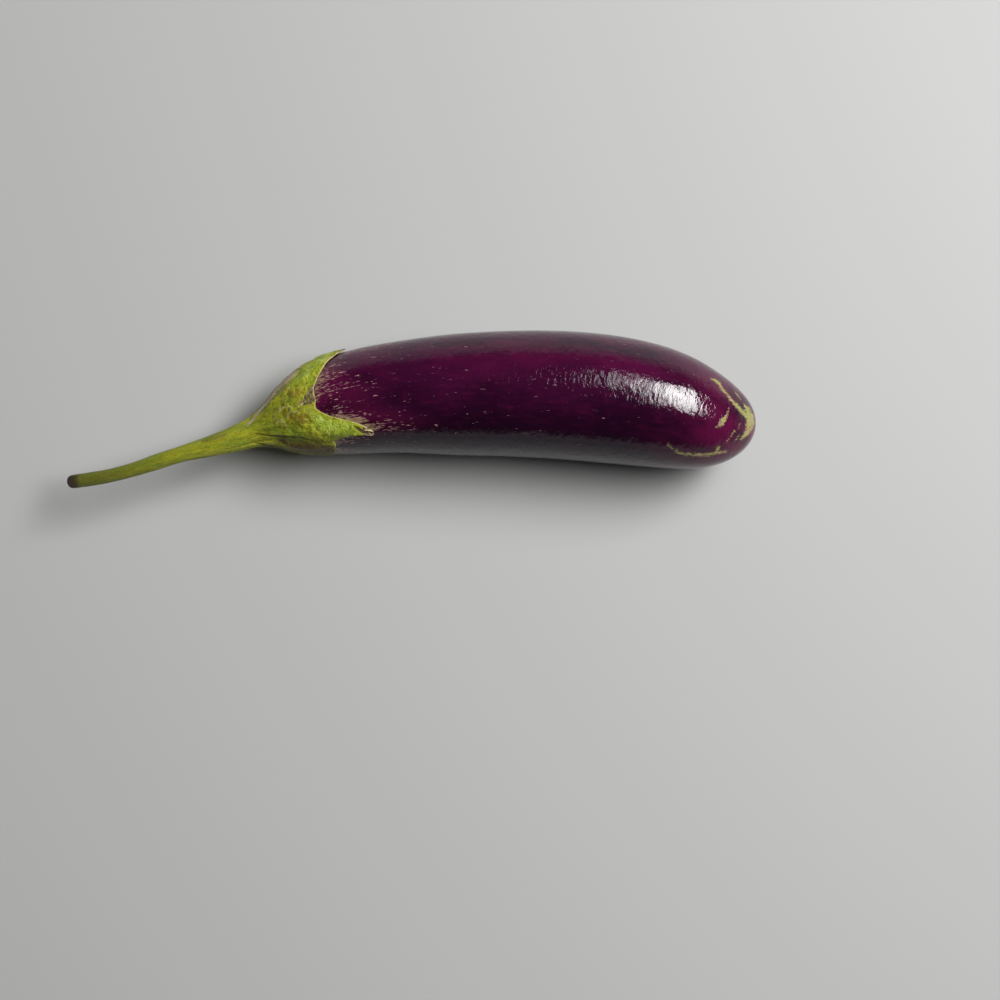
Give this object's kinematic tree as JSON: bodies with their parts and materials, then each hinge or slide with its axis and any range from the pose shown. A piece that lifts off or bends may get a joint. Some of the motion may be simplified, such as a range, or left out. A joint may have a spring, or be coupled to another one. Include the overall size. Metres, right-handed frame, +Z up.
{
  "type": "eggplant",
  "caption": "Long purple eggplant with a lobed green calyx and a long cut stem, as picked, lying on its side.",
  "frame": {"origin": "on the surface that the eggplant lies on, under the middle of its length and width", "axes": "+Z up from the surface; +X from the stem's cut end to the blossom end; +Y towards the outside of the fruit's bend"},
  "size_m": [0.2828, 0.0648, 0.0523],
  "materials": {
    "purple_skin": "glossy, waxy fruit skin",
    "green_calyx": "satin, fleshy and finely ribbed leaf green"
  },
  "bodies": {
    "root": {"fruit": "purple_skin", "calyx_and_stem": "green_calyx"}
  },
  "joints": []
}
